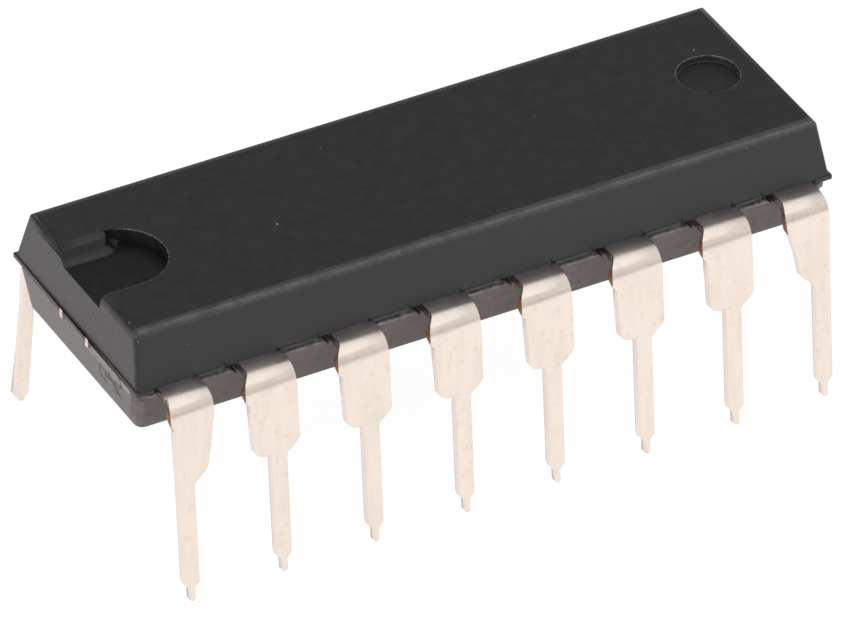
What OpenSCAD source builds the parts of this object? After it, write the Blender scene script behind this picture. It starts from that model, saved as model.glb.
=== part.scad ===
// Sixteen lead dual in-line integrated circuit.
// Millimetres. The lead tips stand on Z = 0, +X runs along the body, and the notch is at the -X end.
// Leads 1 to 8 stand on the -Y side, from -X to +X. Leads 9 to 16 come back on the +Y side.

/* [Moulded body] */
// Length of the body at its parting line
body_length = 19.3; // [18.6:0.05:20]
// Width of the body at its parting line
body_width = 6.5; // [6.3:0.02:6.9]
// Height of the upper half above its foot
upper_height = 1.46; // [1.3:0.02:1.9]
// Depth of the lower half below its own top
lower_depth = 1.19; // [0.9:0.01:1.6]
// Lean of the upper half's long sides, in degrees
upper_side_draft = 17.5; // [6:0.2:20]
// Lean of the upper half's ends, in degrees
upper_end_draft = 6; // [3:0.1:12]
// Lean of the lower half's long sides, in degrees
lower_side_draft = 15.1; // [6:0.2:20]
// Lean of the lower half's ends, in degrees
lower_end_draft = 6.8; // [3:0.1:12]
// Rounding of the top face's long edges
top_edge_radius = 0.14; // [0.05:0.01:0.25]
// Rounding of the top face's end edges
top_end_radius = 0.24; // [0.05:0.01:0.35]
// Rounding of the edges round the underside
bottom_edge_radius = 0.2; // [0.05:0.01:0.3]
// Rounding of the upper half's standing corners
upper_corner_radius = 0.14; // [0.05:0.01:0.3]
// Rounding of the lower half's standing corners
lower_corner_radius = 0.45; // [0.1:0.01:0.6]

/* [Parting line] */
// Height of the dark gap between the two halves
parting_gap = 0.18; // [0.08:0.01:0.2]
// How far the resin between the halves is set back
neck_inset = 0.12; // [0.04:0.01:0.2]
// Height of the lip under the upper half's foot, round the corners
lip_height = 0.11; // [0.03:0.01:0.12]
// How far that lip stands out of the foot
lip_reach = 0.04; // [0.01:0.01:0.06]
// How far before the next lead the lip between two leads has run out
lip_run_out = 0.3; // [0.1:0.02:0.5]
// Rounding of each resin web beside a lead
web_round = 0.24; // [0.1:0.01:0.3]
// How deep that rounding runs in from the side of the body
web_round_depth = 0.3; // [0.2:0.01:0.5]

/* [Lead 1 notch] */
// Radius of the notch's round end
notch_radius = 1.18; // [0.9:0.02:1.4]
// Distance from the end of the upper half to the deepest point of the notch
notch_length = 2.46; // [2.3:0.01:3]
// Depth of the notch below the top face
notch_depth = 0.37; // [0.2:0.01:0.7]
// Sideways offset of the notch from the middle of the body
notch_offset = 0.13; // [-0.2:0.01:0.2]
// How far the foot of the notch's wall slopes in, on the side of the last lead
notch_ramp = 0.5; // [0.1:0.01:0.6]
// How far before the middle of the round end that slope starts to run out
notch_ramp_end = 0.3; // [0.1:0.05:0.5]
// Width of the soft crest over the slope
notch_crest = 0.2; // [0.05:0.01:0.25]
// Drop across that crest
notch_crest_drop = 0.05; // [0.02:0.01:0.1]

/* [Ejector marks] */
// Diameter of the round mark on top
mark_diameter = 1.6; // [1:0.02:2]
// Depth of the round mark on top
mark_depth = 0.18; // [0.05:0.01:0.4]
// Distance from the end of the upper half to the centre of the round mark
mark_from_end = 1.57; // [1.3:0.01:2.4]
// Sideways offset of the round mark from the middle of the body
mark_offset = 0.15; // [-0.3:0.01:0.3]
// Diameter of the two round marks underneath
under_mark_diameter = 1.8; // [1:0.02:2.4]
// Depth of the two round marks underneath
under_mark_depth = 0.08; // [0.03:0.01:0.2]
// Distance from the middle of the body to each mark underneath
under_mark_spread = 6.4; // [3:0.1:7.5]

/* [Mould gate scar] */
// Width of the broken gate on the notch end
gate_width = 1.8; // [1:0.05:2.4]
// Height of the broken gate
gate_height = 0.42; // [0.2:0.01:0.6]
// How far the broken gate stands out
gate_reach = 0.05; // [0.02:0.01:0.1]
// Distance of the gate's middle from the middle of the body, towards leads 1 to 8
gate_offset = 1.44; // [1.3:0.01:1.7]

/* [Leads] */
// Distance between neighbouring leads
lead_pitch = 2.54; // [2.5:0.01:2.6]
// Thickness of the lead frame sheet
lead_thickness = 0.25; // [0.2:0.01:0.3]
// Height of the leads' flat tops above their tips
lead_drop = 5.64; // [5:0.01:6.2]
// Distance over the outsides of the two rows at the tips
tip_spread = 9.34; // [9.1:0.02:9.8]
// Outward lean of each lead, in degrees
lead_splay = 5.6; // [3:0.1:8]
// Inside radius of the bend
bend_radius = 0.25; // [0.15:0.01:0.35]
// Width of the broad upper part of a lead
broad_width = 1.21; // [1:0.01:1.5]
// Width of the narrow blade of a lead
blade_width = 0.44; // [0.36:0.01:0.56]
// Height of the seating shoulder above the tips
shoulder_height = 3.4; // [2.9:0.01:3.9]
// Rounding of the shoulder on one side
shoulder_radius = 0.28; // [0.1:0.01:0.32]
// Height of the sloping shoulder on the other side
shoulder_slope = 0.34; // [0.2:0.01:0.5]
// Reach of a corner lead's flat from the middle of its blade
corner_reach_flat = 0.88; // [0.8:0.01:1]
// Reach of a corner lead's broad part from the middle of its blade, under the bend
corner_reach_top = 0.79; // [0.7:0.01:0.9]
// Reach of a corner lead's broad part from the middle of its blade, above the shoulder
corner_reach_foot = 0.63; // [0.45:0.01:0.7]
// Width of the small nib at the tip
nib_width = 0.15; // [0.1:0.01:0.25]
// Length of the small nib at the tip
nib_length = 0.36; // [0.2:0.01:0.5]
// Height over which the blade narrows to the nib
nib_taper = 0.24; // [0.1:0.01:0.4]
// How much of its tip the last lead has lost
worn_tip = 0.12; // [0.05:0.01:0.2]
// How far that lead's blade narrows towards its worn tip, on one side
worn_side = 0.14; // [0.05:0.01:0.2]
// Height from which it narrows
worn_rise = 2.1; // [1:0.1:3]

/* [Dam bar stubs] */
// Height of the sheared stub on each side of a lead
stub_height = 0.55; // [0.3:0.01:0.7]
// How far each sheared stub stands out
stub_reach = 0.05; // [0.02:0.01:0.1]
// Distance from the underside of the lead's flat to the top of its stubs
stub_drop = 0.02; // [0.01:0.01:0.2]

/* [Lead frame inside] */
// Length of the pad under the die
pad_length = 4.2; // [3.4:0.05:4.6]
// Width of the pad under the die
pad_width = 2.5; // [2.2:0.05:2.7]
// How far the pad is set down below the leads
pad_downset = 0.25; // [0.1:0.01:0.4]
// Distance between the two tie bars at each end
tie_spacing = 1.36; // [1.1:0.02:1.5]
// Width of a tie bar
tie_width = 0.14; // [0.1:0.01:0.25]
// How far a cut tie bar stands out of the body's end
tie_reach = 0.06; // [0.02:0.01:0.1]
// Gap between the pad and the inner ends of the leads
finger_gap = 0.35; // [0.25:0.01:0.4]
// Width of the leads' inner ends
finger_width = 0.34; // [0.26:0.01:0.4]

/* [Die and wires] */
// Length of the silicon die
die_length = 2.4; // [1.8:0.05:3]
// Width of the silicon die
die_width = 1.7; // [1.2:0.05:2]
// Thickness of the silicon die
die_thickness = 0.3; // [0.2:0.01:0.4]
// Thickness of the adhesive under the die
attach_thickness = 0.03; // [0.02:0.005:0.05]
// How far the adhesive squeezes out round the die
attach_fillet = 0.08; // [0.03:0.01:0.15]
// Diameter of a bond wire
wire_diameter = 0.03; // [0.02:0.005:0.05]
// Rise of a wire's loop over the line between its ends
wire_rise = 0.2; // [0.15:0.01:0.3]
// Diameter of the bond at each end of a wire
bond_diameter = 0.09; // [0.07:0.01:0.12]

/* [Hidden] */
$fn = 48;

// Colours
resin_colour = [0.20, 0.20, 0.21];
tin_colour = [0.90, 0.86, 0.82];
copper_colour = [0.80, 0.55, 0.42];
adhesive_colour = [0.75, 0.75, 0.78];
silicon_colour = [0.35, 0.36, 0.42];
gold_colour = [0.95, 0.78, 0.35];

// Counts and helpers
row_count = 8;
edge_steps = 4;
corner_steps = 4;
bend_steps = 10;
// The lip laps this far up the upper half
lip_edge = 0.03;
// A length longer than any size of the part, for cutters
far = 40;

// Heights
foot_z = lead_drop;
top_z = foot_z + upper_height;
lower_top_z = foot_z - parting_gap;
bottom_z = lower_top_z - lower_depth;
frame_z = foot_z - lead_thickness;
pad_top_z = foot_z - pad_downset;
pad_bottom_z = pad_top_z - lead_thickness;
die_bottom_z = pad_top_z + attach_thickness;
die_top_z = die_bottom_z + die_thickness;

half_length = body_length / 2;
half_width = body_width / 2;

// Leads
row_start = -(row_count - 1) / 2 * lead_pitch;
outer_radius = bend_radius + lead_thickness;
bend_z = foot_z - outer_radius;
bend_y = tip_spread / 2 - outer_radius * cos(lead_splay)
    - tan(lead_splay) * (bend_z + outer_radius * sin(lead_splay));
// The flat of a lead runs this far into the resin before it narrows to its finger
root_y = half_width - 0.45;
root_lap = 0.2;
root_half = 0.36;
// Each finger turns once on its way, at its knee
knee_y = half_width - 0.9;
corner_knee_y = half_width - 1.45;
knee_half = 0.28;
knee_shift = [1.8, 1.5, 0.8, 0.2];
// Where the fingers stop: the two outer ones beyond the pad's end, the two inner ones beside the pad
corner_finger_stop = 0.85;
second_finger_stop = 0.15;
second_finger_side = 0.1;
third_finger_inset = 0.3;
inner_finger_x = 0.7;
tie_clearance = 0.14;
// Bonds on the die keep this far from its edges and from each other
bond_margin = 0.12;
bond_spacing = 0.3;
inner_bond_inset = 0.8;
// A wire is stitched to its finger this far in from the finger's end
stitch_back = 0.14;

// Where the inner end of a lead lies, by rank, from 0 for a corner lead to 3 for a middle one
function finger_tip(rank) =
    rank == 0 ? [pad_length / 2 + finger_gap + corner_finger_stop,
                 tie_spacing / 2 + tie_width / 2 + tie_clearance + finger_width / 2] :
    rank == 1 ? [pad_length / 2 + finger_gap + second_finger_stop, pad_width / 2 + second_finger_side] :
    rank == 2 ? [pad_length / 2 - third_finger_inset, pad_width / 2 + finger_gap] :
    [inner_finger_x, pad_width / 2 + finger_gap];
function finger_knee(rank) = [lead_x(rank) + knee_shift[rank], rank == 0 ? corner_knee_y : knee_y];
// Where a wire leaves the die, for the same four leads
function die_bond(rank) =
    rank == 0 ? [die_length / 2 - bond_margin, die_width / 2 - 2 * bond_spacing] :
    rank == 1 ? [die_length / 2 - bond_margin, die_width / 2 - bond_spacing] :
    rank == 2 ? [die_length / 2 - bond_spacing, die_width / 2 - bond_margin] :
    [die_length / 2 - inner_bond_inset, die_width / 2 - bond_margin];

// Place of a lead along the row, counted from 0 at the -X end
function lead_x(place) = row_start + place * lead_pitch;
// Left edge of a lead's flat, from the second lead of the row on
function left_edge(place) = lead_x(place) - (place == row_count - 1 ? corner_reach_flat : broad_width / 2);
// How far a lead is from its end of the row, 0 for a corner lead
function rank_of(place) = min(place, row_count - 1 - place);
function side_of(place) = place < row_count / 2 ? -1 : 1;
function unit(v) = v / norm(v);
function arc(centre, radius, from, to, steps) =
    [
        for (i = [0:steps])
            let (turn = from + (to - from) * i / steps)
            centre + radius * [cos(turn), sin(turn)]
    ];

// Outline of a drafted half seen along one axis, with its far edges rounded
function half_outline(half_base, height, draft, radius) =
    let (
        centre_z = height - radius,
        centre_x = half_base - (radius + centre_z * sin(draft)) / cos(draft),
        right = arc([centre_x, centre_z], radius, draft, 90, edge_steps)
    )
    concat([[-half_base, 0], [half_base, 0]], right,
           [for (i = [len(right) - 1:-1:0]) [-right[i][0], right[i][1]]]);

// A ribbon of the given half widths along a line of three points
function ribbon(a, b, c, wa, wb, wc) =
    let (
        first = unit(b - a),
        second = unit(c - b),
        middle = unit(first + second),
        na = [-first[1], first[0]],
        nb = [-middle[1], middle[0]],
        nc = [-second[1], second[0]]
    )
    [a + na * wa, b + nb * wb, c + nc * wc, c - nc * wc, b - nb * wb, a - na * wa];

// Removes all that lies beyond a plane through a point, on the side that the normal points to
module beyond(point, normal) {
    translate(point)
        rotate([0, acos(normal[2] / norm(normal)), atan2(normal[1], normal[0])])
            translate([-far / 2, -far / 2, 0])
                cube([far, far, far / 2]);
}

// One mould half standing on Z = 0, drafted on four sides, with rounded edges and standing corners
module mould_half(height, side_draft, end_draft, edge_radius, end_radius, corner_radius) {
    end_normal = [cos(end_draft), 0, sin(end_draft)];
    side_normal = [0, cos(side_draft), sin(side_draft)];
    corner_centre = [half_length, half_width, 0]
        - corner_radius / (1 + sin(end_draft) * sin(side_draft)) * (end_normal + side_normal);
    difference() {
        intersection() {
            rotate([90, 0, 90])
                linear_extrude(height = far, center = true)
                    polygon(half_outline(half_width, height, side_draft, edge_radius));
            rotate([90, 0, 0])
                linear_extrude(height = far, center = true)
                    polygon(half_outline(half_length, height, end_draft, end_radius));
        }
        for (sx = [-1, 1], sy = [-1, 1], i = [1:corner_steps - 1]) {
            turn = 90 * i / corner_steps;
            normal = unit(end_normal * cos(turn) + side_normal * sin(turn));
            point = corner_centre + corner_radius * normal;
            beyond([sx * point[0], sy * point[1], point[2]], [sx * normal[0], sy * normal[1], normal[2]]);
        }
    }
}

// The slope left along one wall of the notch, from the mouth to the round end
module notch_slope() {
    difference() {
        translate([-far, notch_radius, 0])
            rotate([90, 0, 90])
                linear_extrude(height = 2 * far)
                    polygon([
                        [-notch_ramp, 0], [-notch_ramp, -1], [1, -1], [1, notch_depth],
                        [0, notch_depth], [-notch_crest, notch_depth - notch_crest_drop]
                    ]);
        beyond([-notch_ramp_end, notch_radius - notch_ramp, 0], [1, -2, 0]);
    }
}

// The notch, cut down from the top face, with its round end's middle at the origin
module notch() {
    translate([notch_length - notch_radius - half_length, notch_offset, top_z - notch_depth])
        difference() {
            linear_extrude(height = notch_depth + 1) {
                circle(r = notch_radius);
                translate([-notch_length, -notch_radius])
                    square([notch_length, 2 * notch_radius]);
            }
            notch_slope();
        }
}

module round_marks() {
    translate([half_length - mark_from_end, mark_offset, top_z - mark_depth])
        cylinder(d = mark_diameter, h = mark_depth + 1);
    for (side = [-1, 1])
        translate([side * under_mark_spread, 0, bottom_z - 1])
            cylinder(d = under_mark_diameter, h = 1 + under_mark_depth);
}

// The lip under the upper half's foot, kept only outside the corner leads
module corner_lips() {
    inside = lead_x(row_count - 1) + blade_width / 2 + 0.1;
    for (side = [-1, 1])
        intersection() {
            translate([-half_length - lip_reach, -half_width - lip_reach, foot_z - lip_height])
                cube([body_length + 2 * lip_reach, body_width + 2 * lip_reach, lip_height + lip_edge]);
            translate([side * (inside + far / 2), 0, foot_z])
                cube([far, far, far], center = true);
        }
}

// The same lip between neighbouring leads, flush with the foot, which runs out before the next lead
module bay_lips() {
    root = neck_inset + 0.05;
    for (turn = [0, 180], place = [0:row_count - 2]) {
        from = -left_edge(row_count - 1 - place);
        to = left_edge(place + 1) - lip_run_out;
        run = to - from;
        rotate([0, 0, turn])
            translate([0, root - half_width, foot_z])
                rotate([90, 0, 0])
                    linear_extrude(height = root)
                        polygon([
                            [from - 0.1, lip_edge], [from - 0.1, -lip_height],
                            [from + 0.3 * run, 0.02 - lip_height],
                            [from + 0.5 * run, -lip_height], [from + 0.8 * run, 0.04 - lip_height],
                            [to, -0.01], [to, lip_edge]
                        ]);
    }
}

// The resin between the two halves, set back all round
module neck() {
    translate([-half_length + neck_inset, -half_width + neck_inset, lower_top_z - 0.2])
        cube([body_length - 2 * neck_inset, body_width - 2 * neck_inset, parting_gap + 0.4]);
}

// Takes the corner off a resin web where it comes to the left side of a lead, seen from outside
module web_rounding(x) {
    translate([x, -half_width + web_round_depth, lower_top_z])
        rotate([90, 0, 0])
            linear_extrude(height = far)
                difference() {
                    translate([-web_round, -web_round])
                        square([web_round, web_round + parting_gap / 2]);
                    translate([-web_round, -web_round])
                        circle(r = web_round);
                }
}

// The broken gate: a low ragged ridge across part of the notch end
module gate_scar() {
    top = lower_top_z - 0.06;
    foot = lower_top_z - gate_height;
    half = gate_width / 2;
    intersection() {
        translate([0, -gate_offset, 0])
            rotate([90, 0, 90])
                linear_extrude(height = far, center = true)
                    polygon([
                        [half, top - 0.02], [0.6 * half, top], [0.45 * half, top - 0.06], [-half, top],
                        [-half, foot + 0.16], [-0.82 * half, foot], [-0.7 * half, foot + 0.15],
                        [-0.5 * half, foot + 0.14], [-0.35 * half, foot + 0.02], [-0.15 * half, foot + 0.2],
                        [0.25 * half, foot + 0.16], [0.5 * half, foot + 0.27]
                    ]);
        translate([-half_length - gate_reach + gate_height * tan(lower_end_draft), -far / 2, 0])
            cube([1, far, far]);
    }
}

module moulding() {
    difference() {
        union() {
            translate([0, 0, foot_z])
                mould_half(upper_height, upper_side_draft, upper_end_draft, top_edge_radius, top_end_radius,
                           upper_corner_radius);
            translate([0, 0, lower_top_z])
                mirror([0, 0, 1])
                    mould_half(lower_depth, lower_side_draft, lower_end_draft, bottom_edge_radius,
                               bottom_edge_radius, lower_corner_radius);
            neck();
            corner_lips();
            bay_lips();
            gate_scar();
        }
        notch();
        round_marks();
    }
}

// Side view of a lead of the -Y row as one band, from inside the resin, round the bend and down to the tip
module lead_side() {
    centre = [-bend_y, bend_z];
    outer_end = centre + outer_radius * [-cos(lead_splay), sin(lead_splay)];
    inner_end = centre + bend_radius * [-cos(lead_splay), sin(lead_splay)];
    lean = tan(lead_splay);
    polygon(concat(
        [[-root_y, frame_z], [-root_y, foot_z]],
        arc(centre, outer_radius, 90, 180 - lead_splay, bend_steps),
        [outer_end - outer_end[1] * [lean, 1], inner_end - inner_end[1] * [lean, 1]],
        arc(centre, bend_radius, 180 - lead_splay, 90, bend_steps)
    ));
}

// Front outline of one side of the blade's tip, from the nib up to the blade
function tip_outline(side, worn = false) =
    worn ? [
        [side * nib_width / 4 - worn_side / 2, worn_tip],
        [side * nib_width / 2 - worn_side / 2, worn_tip + nib_width / 4],
        [side > 0 ? blade_width / 2 - worn_side : -blade_width / 2, nib_length + nib_taper - worn_tip],
        [side * blade_width / 2, worn_rise]
    ] : [
        [side * nib_width / 4, 0],
        [side * nib_width / 2, nib_width / 4],
        [side * nib_width / 2, nib_length],
        [side * (nib_width / 2 + 0.3 * (blade_width - nib_width) / 2), nib_length + 0.12 * nib_taper],
        [side * (nib_width / 2 + 0.85 * (blade_width - nib_width) / 2), nib_length + 0.6 * nib_taper],
        [side * blade_width / 2, nib_length + nib_taper]
    ];

// Front outline of the rounded shoulder, on the left of a lead
function round_shoulder() =
    concat(
        [[-blade_width / 2, shoulder_height - 0.05], [-blade_width / 2 - 0.05, shoulder_height]],
        arc([shoulder_radius - broad_width / 2, shoulder_height + shoulder_radius],
            shoulder_radius, 270, 180, 5)
    );

// Front outline of the sloping shoulder, on the right of a lead
function sloping_shoulder() =
    [
        [blade_width / 2, shoulder_height - 0.14],
        [blade_width / 2 + 0.02, shoulder_height - 0.07],
        [blade_width / 2 + 0.07, shoulder_height - 0.02],
        [broad_width / 2 - 0.05, shoulder_height + shoulder_slope - 0.14],
        [broad_width / 2, shoulder_height + shoulder_slope - 0.05]
    ];

// Front outline of a corner lead's single shoulder
function corner_shoulder() =
    [
        [blade_width / 2, shoulder_height - 0.2],
        [blade_width / 2 + 0.03, shoulder_height - 0.09],
        [corner_reach_foot - 0.11, shoulder_height + shoulder_slope - 0.2],
        [corner_reach_foot - 0.02, shoulder_height + shoulder_slope - 0.08],
        [corner_reach_foot + 0.02, shoulder_height + shoulder_slope + 0.1],
        [corner_reach_top, frame_z - stub_drop - stub_height - 0.1]
    ];

function reversed(points) = [for (i = [len(points) - 1:-1:0]) points[i]];

// The sheared stub on a side edge at the given reach from the lead's middle
function stub(reach) =
    let (top = frame_z - stub_drop)
    [
        [reach, top - stub_height - 0.08],
        [reach + sign(reach) * stub_reach, top - stub_height],
        [reach + sign(reach) * stub_reach, top - 0.03],
        [reach, top]
    ];

module broad_front() {
    half = broad_width / 2;
    polygon(concat(
        tip_outline(1), sloping_shoulder(), stub(half), [[half, foot_z + 1], [-half, foot_z + 1]],
        reversed(stub(-half)), reversed(round_shoulder()), reversed(tip_outline(-1))
    ));
}

// The corner lead of the -X end: its outer edge runs straight down
module corner_front(worn = false) {
    polygon(concat(
        tip_outline(1, worn), corner_shoulder(), stub(corner_reach_top),
        [[corner_reach_flat, frame_z], [corner_reach_flat, foot_z + 1], [-blade_width / 2, foot_z + 1]],
        reversed(stub(-blade_width / 2)), reversed(tip_outline(-1, worn))
    ));
}

// The part of a lead inside the resin, which narrows towards the die
module finger(place) {
    rank = rank_of(place);
    side = side_of(place);
    tip = finger_tip(rank);
    knee = finger_knee(rank);
    // A corner lead's finger starts from the middle of its broad part
    root_x = abs(lead_x(place)) - (rank == 0 ? (corner_reach_top - blade_width / 2) / 2 : 0);
    a = [side * root_x, -root_y - root_lap];
    b = [side * abs(knee[0]), -knee[1]];
    c = [side * tip[0], -tip[1]];
    translate([0, 0, frame_z])
        linear_extrude(height = lead_thickness)
            polygon(ribbon(a, b, c, root_half, knee_half, finger_width / 2));
}

// A lead of the -Y row, counted from 0 at the -X end. A worn one has lost the nib at its tip
module row_lead(place, worn = false) {
    intersection() {
        rotate([90, 0, 90])
            linear_extrude(height = far, center = true)
                lead_side();
        translate([lead_x(place), 0, 0])
            rotate([90, 0, 0])
                linear_extrude(height = far)
                    if (place == 0) corner_front();
                    else if (place == row_count - 1) mirror([1, 0, 0]) corner_front(worn);
                    else broad_front();
    }
    finger(place);
}

// A lead by its number: the second row is the first one turned half round
module lead_shape(number) {
    if (number <= row_count) row_lead(number - 1);
    else rotate([0, 0, 180]) row_lead(number - 1 - row_count, number == 2 * row_count);
}

module lead(number) {
    color(tin_colour) lead_shape(number);
}

// The pad with two tie bars to each end, stepped down from the plane of the leads
module die_pad_shape() {
    step_x = pad_length / 2 + 0.35;
    step_run = 0.3;
    lap_x = pad_length / 2 - 0.1;
    translate([-pad_length / 2, -pad_width / 2, pad_bottom_z])
        cube([pad_length, pad_width, lead_thickness]);
    for (end = [-1, 1], side = [-1, 1]) {
        bar_end = half_length + tie_reach;
        translate([0, side * tie_spacing / 2 + tie_width / 2, 0])
            rotate([90, 0, 0])
                linear_extrude(height = tie_width)
                    polygon([
                        [end * lap_x, pad_bottom_z],
                        [end * step_x, pad_bottom_z],
                        [end * (step_x + step_run), frame_z],
                        [end * bar_end, frame_z],
                        [end * bar_end, foot_z],
                        [end * (step_x + step_run), foot_z],
                        [end * step_x, pad_top_z],
                        [end * lap_x, pad_top_z]
                    ]);
    }
}

module die_attach_shape() {
    translate([0, 0, pad_top_z + attach_thickness / 2])
        cube([die_length + 2 * attach_fillet, die_width + 2 * attach_fillet, attach_thickness],
             center = true);
}

module die_shape() {
    translate([0, 0, die_bottom_z + die_thickness / 2])
        cube([die_length, die_width, die_thickness], center = true);
}

// A looped wire between two bonded points, each on its own flat
module looped_wire(from, to) {
    run = norm([to[0] - from[0], to[1] - from[1]]);
    fall = to[2] - from[2];
    chord = norm([run, fall]);
    tilt = atan2(fall, run);
    radius = chord * chord / (8 * wire_rise) + wire_rise / 2;
    half = asin(chord / (2 * radius));
    drop = radius - wire_rise;
    lift = 0.7 * wire_diameter;
    translate([from[0], from[1], from[2] + lift])
        rotate([0, 0, atan2(to[1] - from[1], to[0] - from[0])])
            rotate([90, 0, 0])
                translate([run / 2 + sin(tilt) * drop, fall / 2 - cos(tilt) * drop, 0])
                    rotate([0, 0, 90 + tilt - half])
                        rotate_extrude(angle = 2 * half)
                            translate([radius, 0])
                                circle(d = wire_diameter, $fn = 8);
    for (point = [from, to])
        translate(point)
            cylinder(d = bond_diameter, h = 1.2 * wire_diameter, $fn = 12);
}

module row_wire(place) {
    rank = rank_of(place);
    side = side_of(place);
    bond = die_bond(rank);
    tip = finger_tip(rank);
    knee = finger_knee(rank);
    seat = tip + unit([abs(knee[0]), knee[1]] - tip) * stitch_back;
    looped_wire([side * bond[0], -bond[1], die_top_z], [side * seat[0], -seat[1], foot_z]);
}

module wire_shape(number) {
    if (number <= row_count) row_wire(number - 1);
    else rotate([0, 0, 180]) row_wire(number - 1 - row_count);
}

module bond_wire(number) {
    color(gold_colour) wire_shape(number);
}

// The moulded resin, with the room that the embedded pieces take up
module body() {
    color(resin_colour)
        difference() {
            moulding();
            for (turn = [0, 180], place = [1:row_count - 1])
                rotate([0, 0, turn])
                    web_rounding(left_edge(place));
            for (number = [1:2 * row_count]) {
                lead_shape(number);
                wire_shape(number);
            }
            die_pad_shape();
            die_attach_shape();
            die_shape();
        }
}

module die_pad() { color(copper_colour) die_pad_shape(); }
module die_attach() { color(adhesive_colour) die_attach_shape(); }
module die() { color(silicon_colour) die_shape(); }

body();
lead(1);  // lead_1
lead(2);  // lead_2
lead(3);  // lead_3
lead(4);  // lead_4
lead(5);  // lead_5
lead(6);  // lead_6
lead(7);  // lead_7
lead(8);  // lead_8
lead(9);  // lead_9
lead(10);  // lead_10
lead(11);  // lead_11
lead(12);  // lead_12
lead(13);  // lead_13
lead(14);  // lead_14
lead(15);  // lead_15
lead(16);  // lead_16
die_pad();
die_attach();
die();
bond_wire(1);  // bond_wire_1
bond_wire(2);  // bond_wire_2
bond_wire(3);  // bond_wire_3
bond_wire(4);  // bond_wire_4
bond_wire(5);  // bond_wire_5
bond_wire(6);  // bond_wire_6
bond_wire(7);  // bond_wire_7
bond_wire(8);  // bond_wire_8
bond_wire(9);  // bond_wire_9
bond_wire(10);  // bond_wire_10
bond_wire(11);  // bond_wire_11
bond_wire(12);  // bond_wire_12
bond_wire(13);  // bond_wire_13
bond_wire(14);  // bond_wire_14
bond_wire(15);  // bond_wire_15
bond_wire(16);  // bond_wire_16
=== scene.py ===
"""Looks of a sixteen-lead dual in-line chip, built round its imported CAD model. Lengths are in metres."""

import math

import bpy
from mathutils import Matrix, Vector


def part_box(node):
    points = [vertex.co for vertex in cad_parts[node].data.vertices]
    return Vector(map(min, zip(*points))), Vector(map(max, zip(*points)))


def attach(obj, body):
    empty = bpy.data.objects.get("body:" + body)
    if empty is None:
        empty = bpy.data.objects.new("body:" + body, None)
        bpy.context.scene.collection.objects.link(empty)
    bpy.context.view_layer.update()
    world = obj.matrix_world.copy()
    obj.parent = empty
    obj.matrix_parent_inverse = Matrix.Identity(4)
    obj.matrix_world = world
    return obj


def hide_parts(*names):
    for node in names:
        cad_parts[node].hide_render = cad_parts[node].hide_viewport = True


bl_info = {
    "name": "Dual In-line Chip",
    "version": (1, 0, 0),
    "blender": (4, 5, 0),
    "location": "View3D > Sidebar > Chip",
    "description": "Finishes the moulded body, the leads and the inner pieces of a dual in-line chip",
    "category": "Object",
}

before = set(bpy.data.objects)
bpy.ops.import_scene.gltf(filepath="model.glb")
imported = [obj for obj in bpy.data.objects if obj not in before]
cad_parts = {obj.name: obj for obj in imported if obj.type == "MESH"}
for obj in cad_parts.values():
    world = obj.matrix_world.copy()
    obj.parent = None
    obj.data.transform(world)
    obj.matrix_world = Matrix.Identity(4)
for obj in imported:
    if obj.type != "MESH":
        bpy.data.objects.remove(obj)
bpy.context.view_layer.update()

MM = 0.001
LEAD_COUNT = 16
ROW_COUNT = LEAD_COUNT // 2
LEAD_PITCH = 2.54 * MM

# Places taken from the frame. The body's box ends at the small lips that stand out of its corners.
BODY_LOW, BODY_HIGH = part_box("body")
LIP_REACH = 0.04 * MM
END_X = BODY_HIGH.x - LIP_REACH
SIDE_Y = BODY_HIGH.y - LIP_REACH
TOP_Z = BODY_HIGH.z
FLAT_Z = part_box("lead_2")[1].z
TIP_SPREAD = -2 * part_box("lead_2")[0].y
PARTING_GAP = 0.18 * MM
LOWER_TOP_Z = FLAT_Z - PARTING_GAP
LEAD_THICKNESS = 0.25 * MM

# The leads' bend, in the plane across the body
SPLAY = math.radians(5.6)
BEND_OUTSIDE = 0.5 * MM
BEND_Z = FLAT_Z - BEND_OUTSIDE
BEND_Y = TIP_SPREAD / 2 - BEND_OUTSIDE * math.cos(SPLAY)
BEND_Y -= math.tan(SPLAY) * (BEND_Z + BEND_OUTSIDE * math.sin(SPLAY))
BEND_TURN = math.pi / 2 - SPLAY
ROOT_Y = 2.95 * MM

# Outlines of the leads, each as rows of a place along the strip, the reach to the left on its outer
# side and on its inner side, and the reach to the right. A place is "root", degrees round the bend with
# a minus, "bent" where the bend ends, or a height above the tips. Lengths are in millimetres, and the
# reaches are measured from the middle of the blade.
BLADE_TIP = (
    (0.60, -0.22, -0.22, 0.21),
    (0.50, -0.198, -0.198, 0.195),
    (0.39, -0.097, -0.097, 0.097),
    (0.35, -0.075, -0.075, 0.075),
    (0.04, -0.072, -0.072, 0.072),
    (0.002, -0.04, -0.04, 0.04),
)
MIDDLE_LEAD = (
    ("root", -0.577, -0.577, 0.607),
    (0, -0.577, -0.577, 0.607),
    (-14, -0.62, -0.62, 0.60),
    (-28, -0.69, -0.70, 0.595),
    (-42, -0.76, -0.78, 0.59),
    (-56, -0.80, -0.825, 0.585),
    (-70, -0.825, -0.84, 0.58),
    ("bent", -0.835, -0.83, 0.58),
    (5.06, -0.845, -0.79, 0.58),
    (4.98, -0.80, -0.745, 0.58),
    (4.91, -0.73, -0.722, 0.58),
    (4.30, -0.695, -0.695, 0.58),
    (3.69, -0.664, -0.664, 0.58),
    (3.60, -0.653, -0.653, 0.53),
    (3.54, -0.627, -0.627, 0.465),
    (3.48, -0.58, -0.58, 0.40),
    (3.43, -0.50, -0.50, 0.345),
    (3.40, -0.36, -0.36, 0.31),
    (3.38, -0.26, -0.26, 0.28),
    (3.34, -0.225, -0.225, 0.24),
    (3.26, -0.22, -0.22, 0.215),
) + BLADE_TIP
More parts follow.
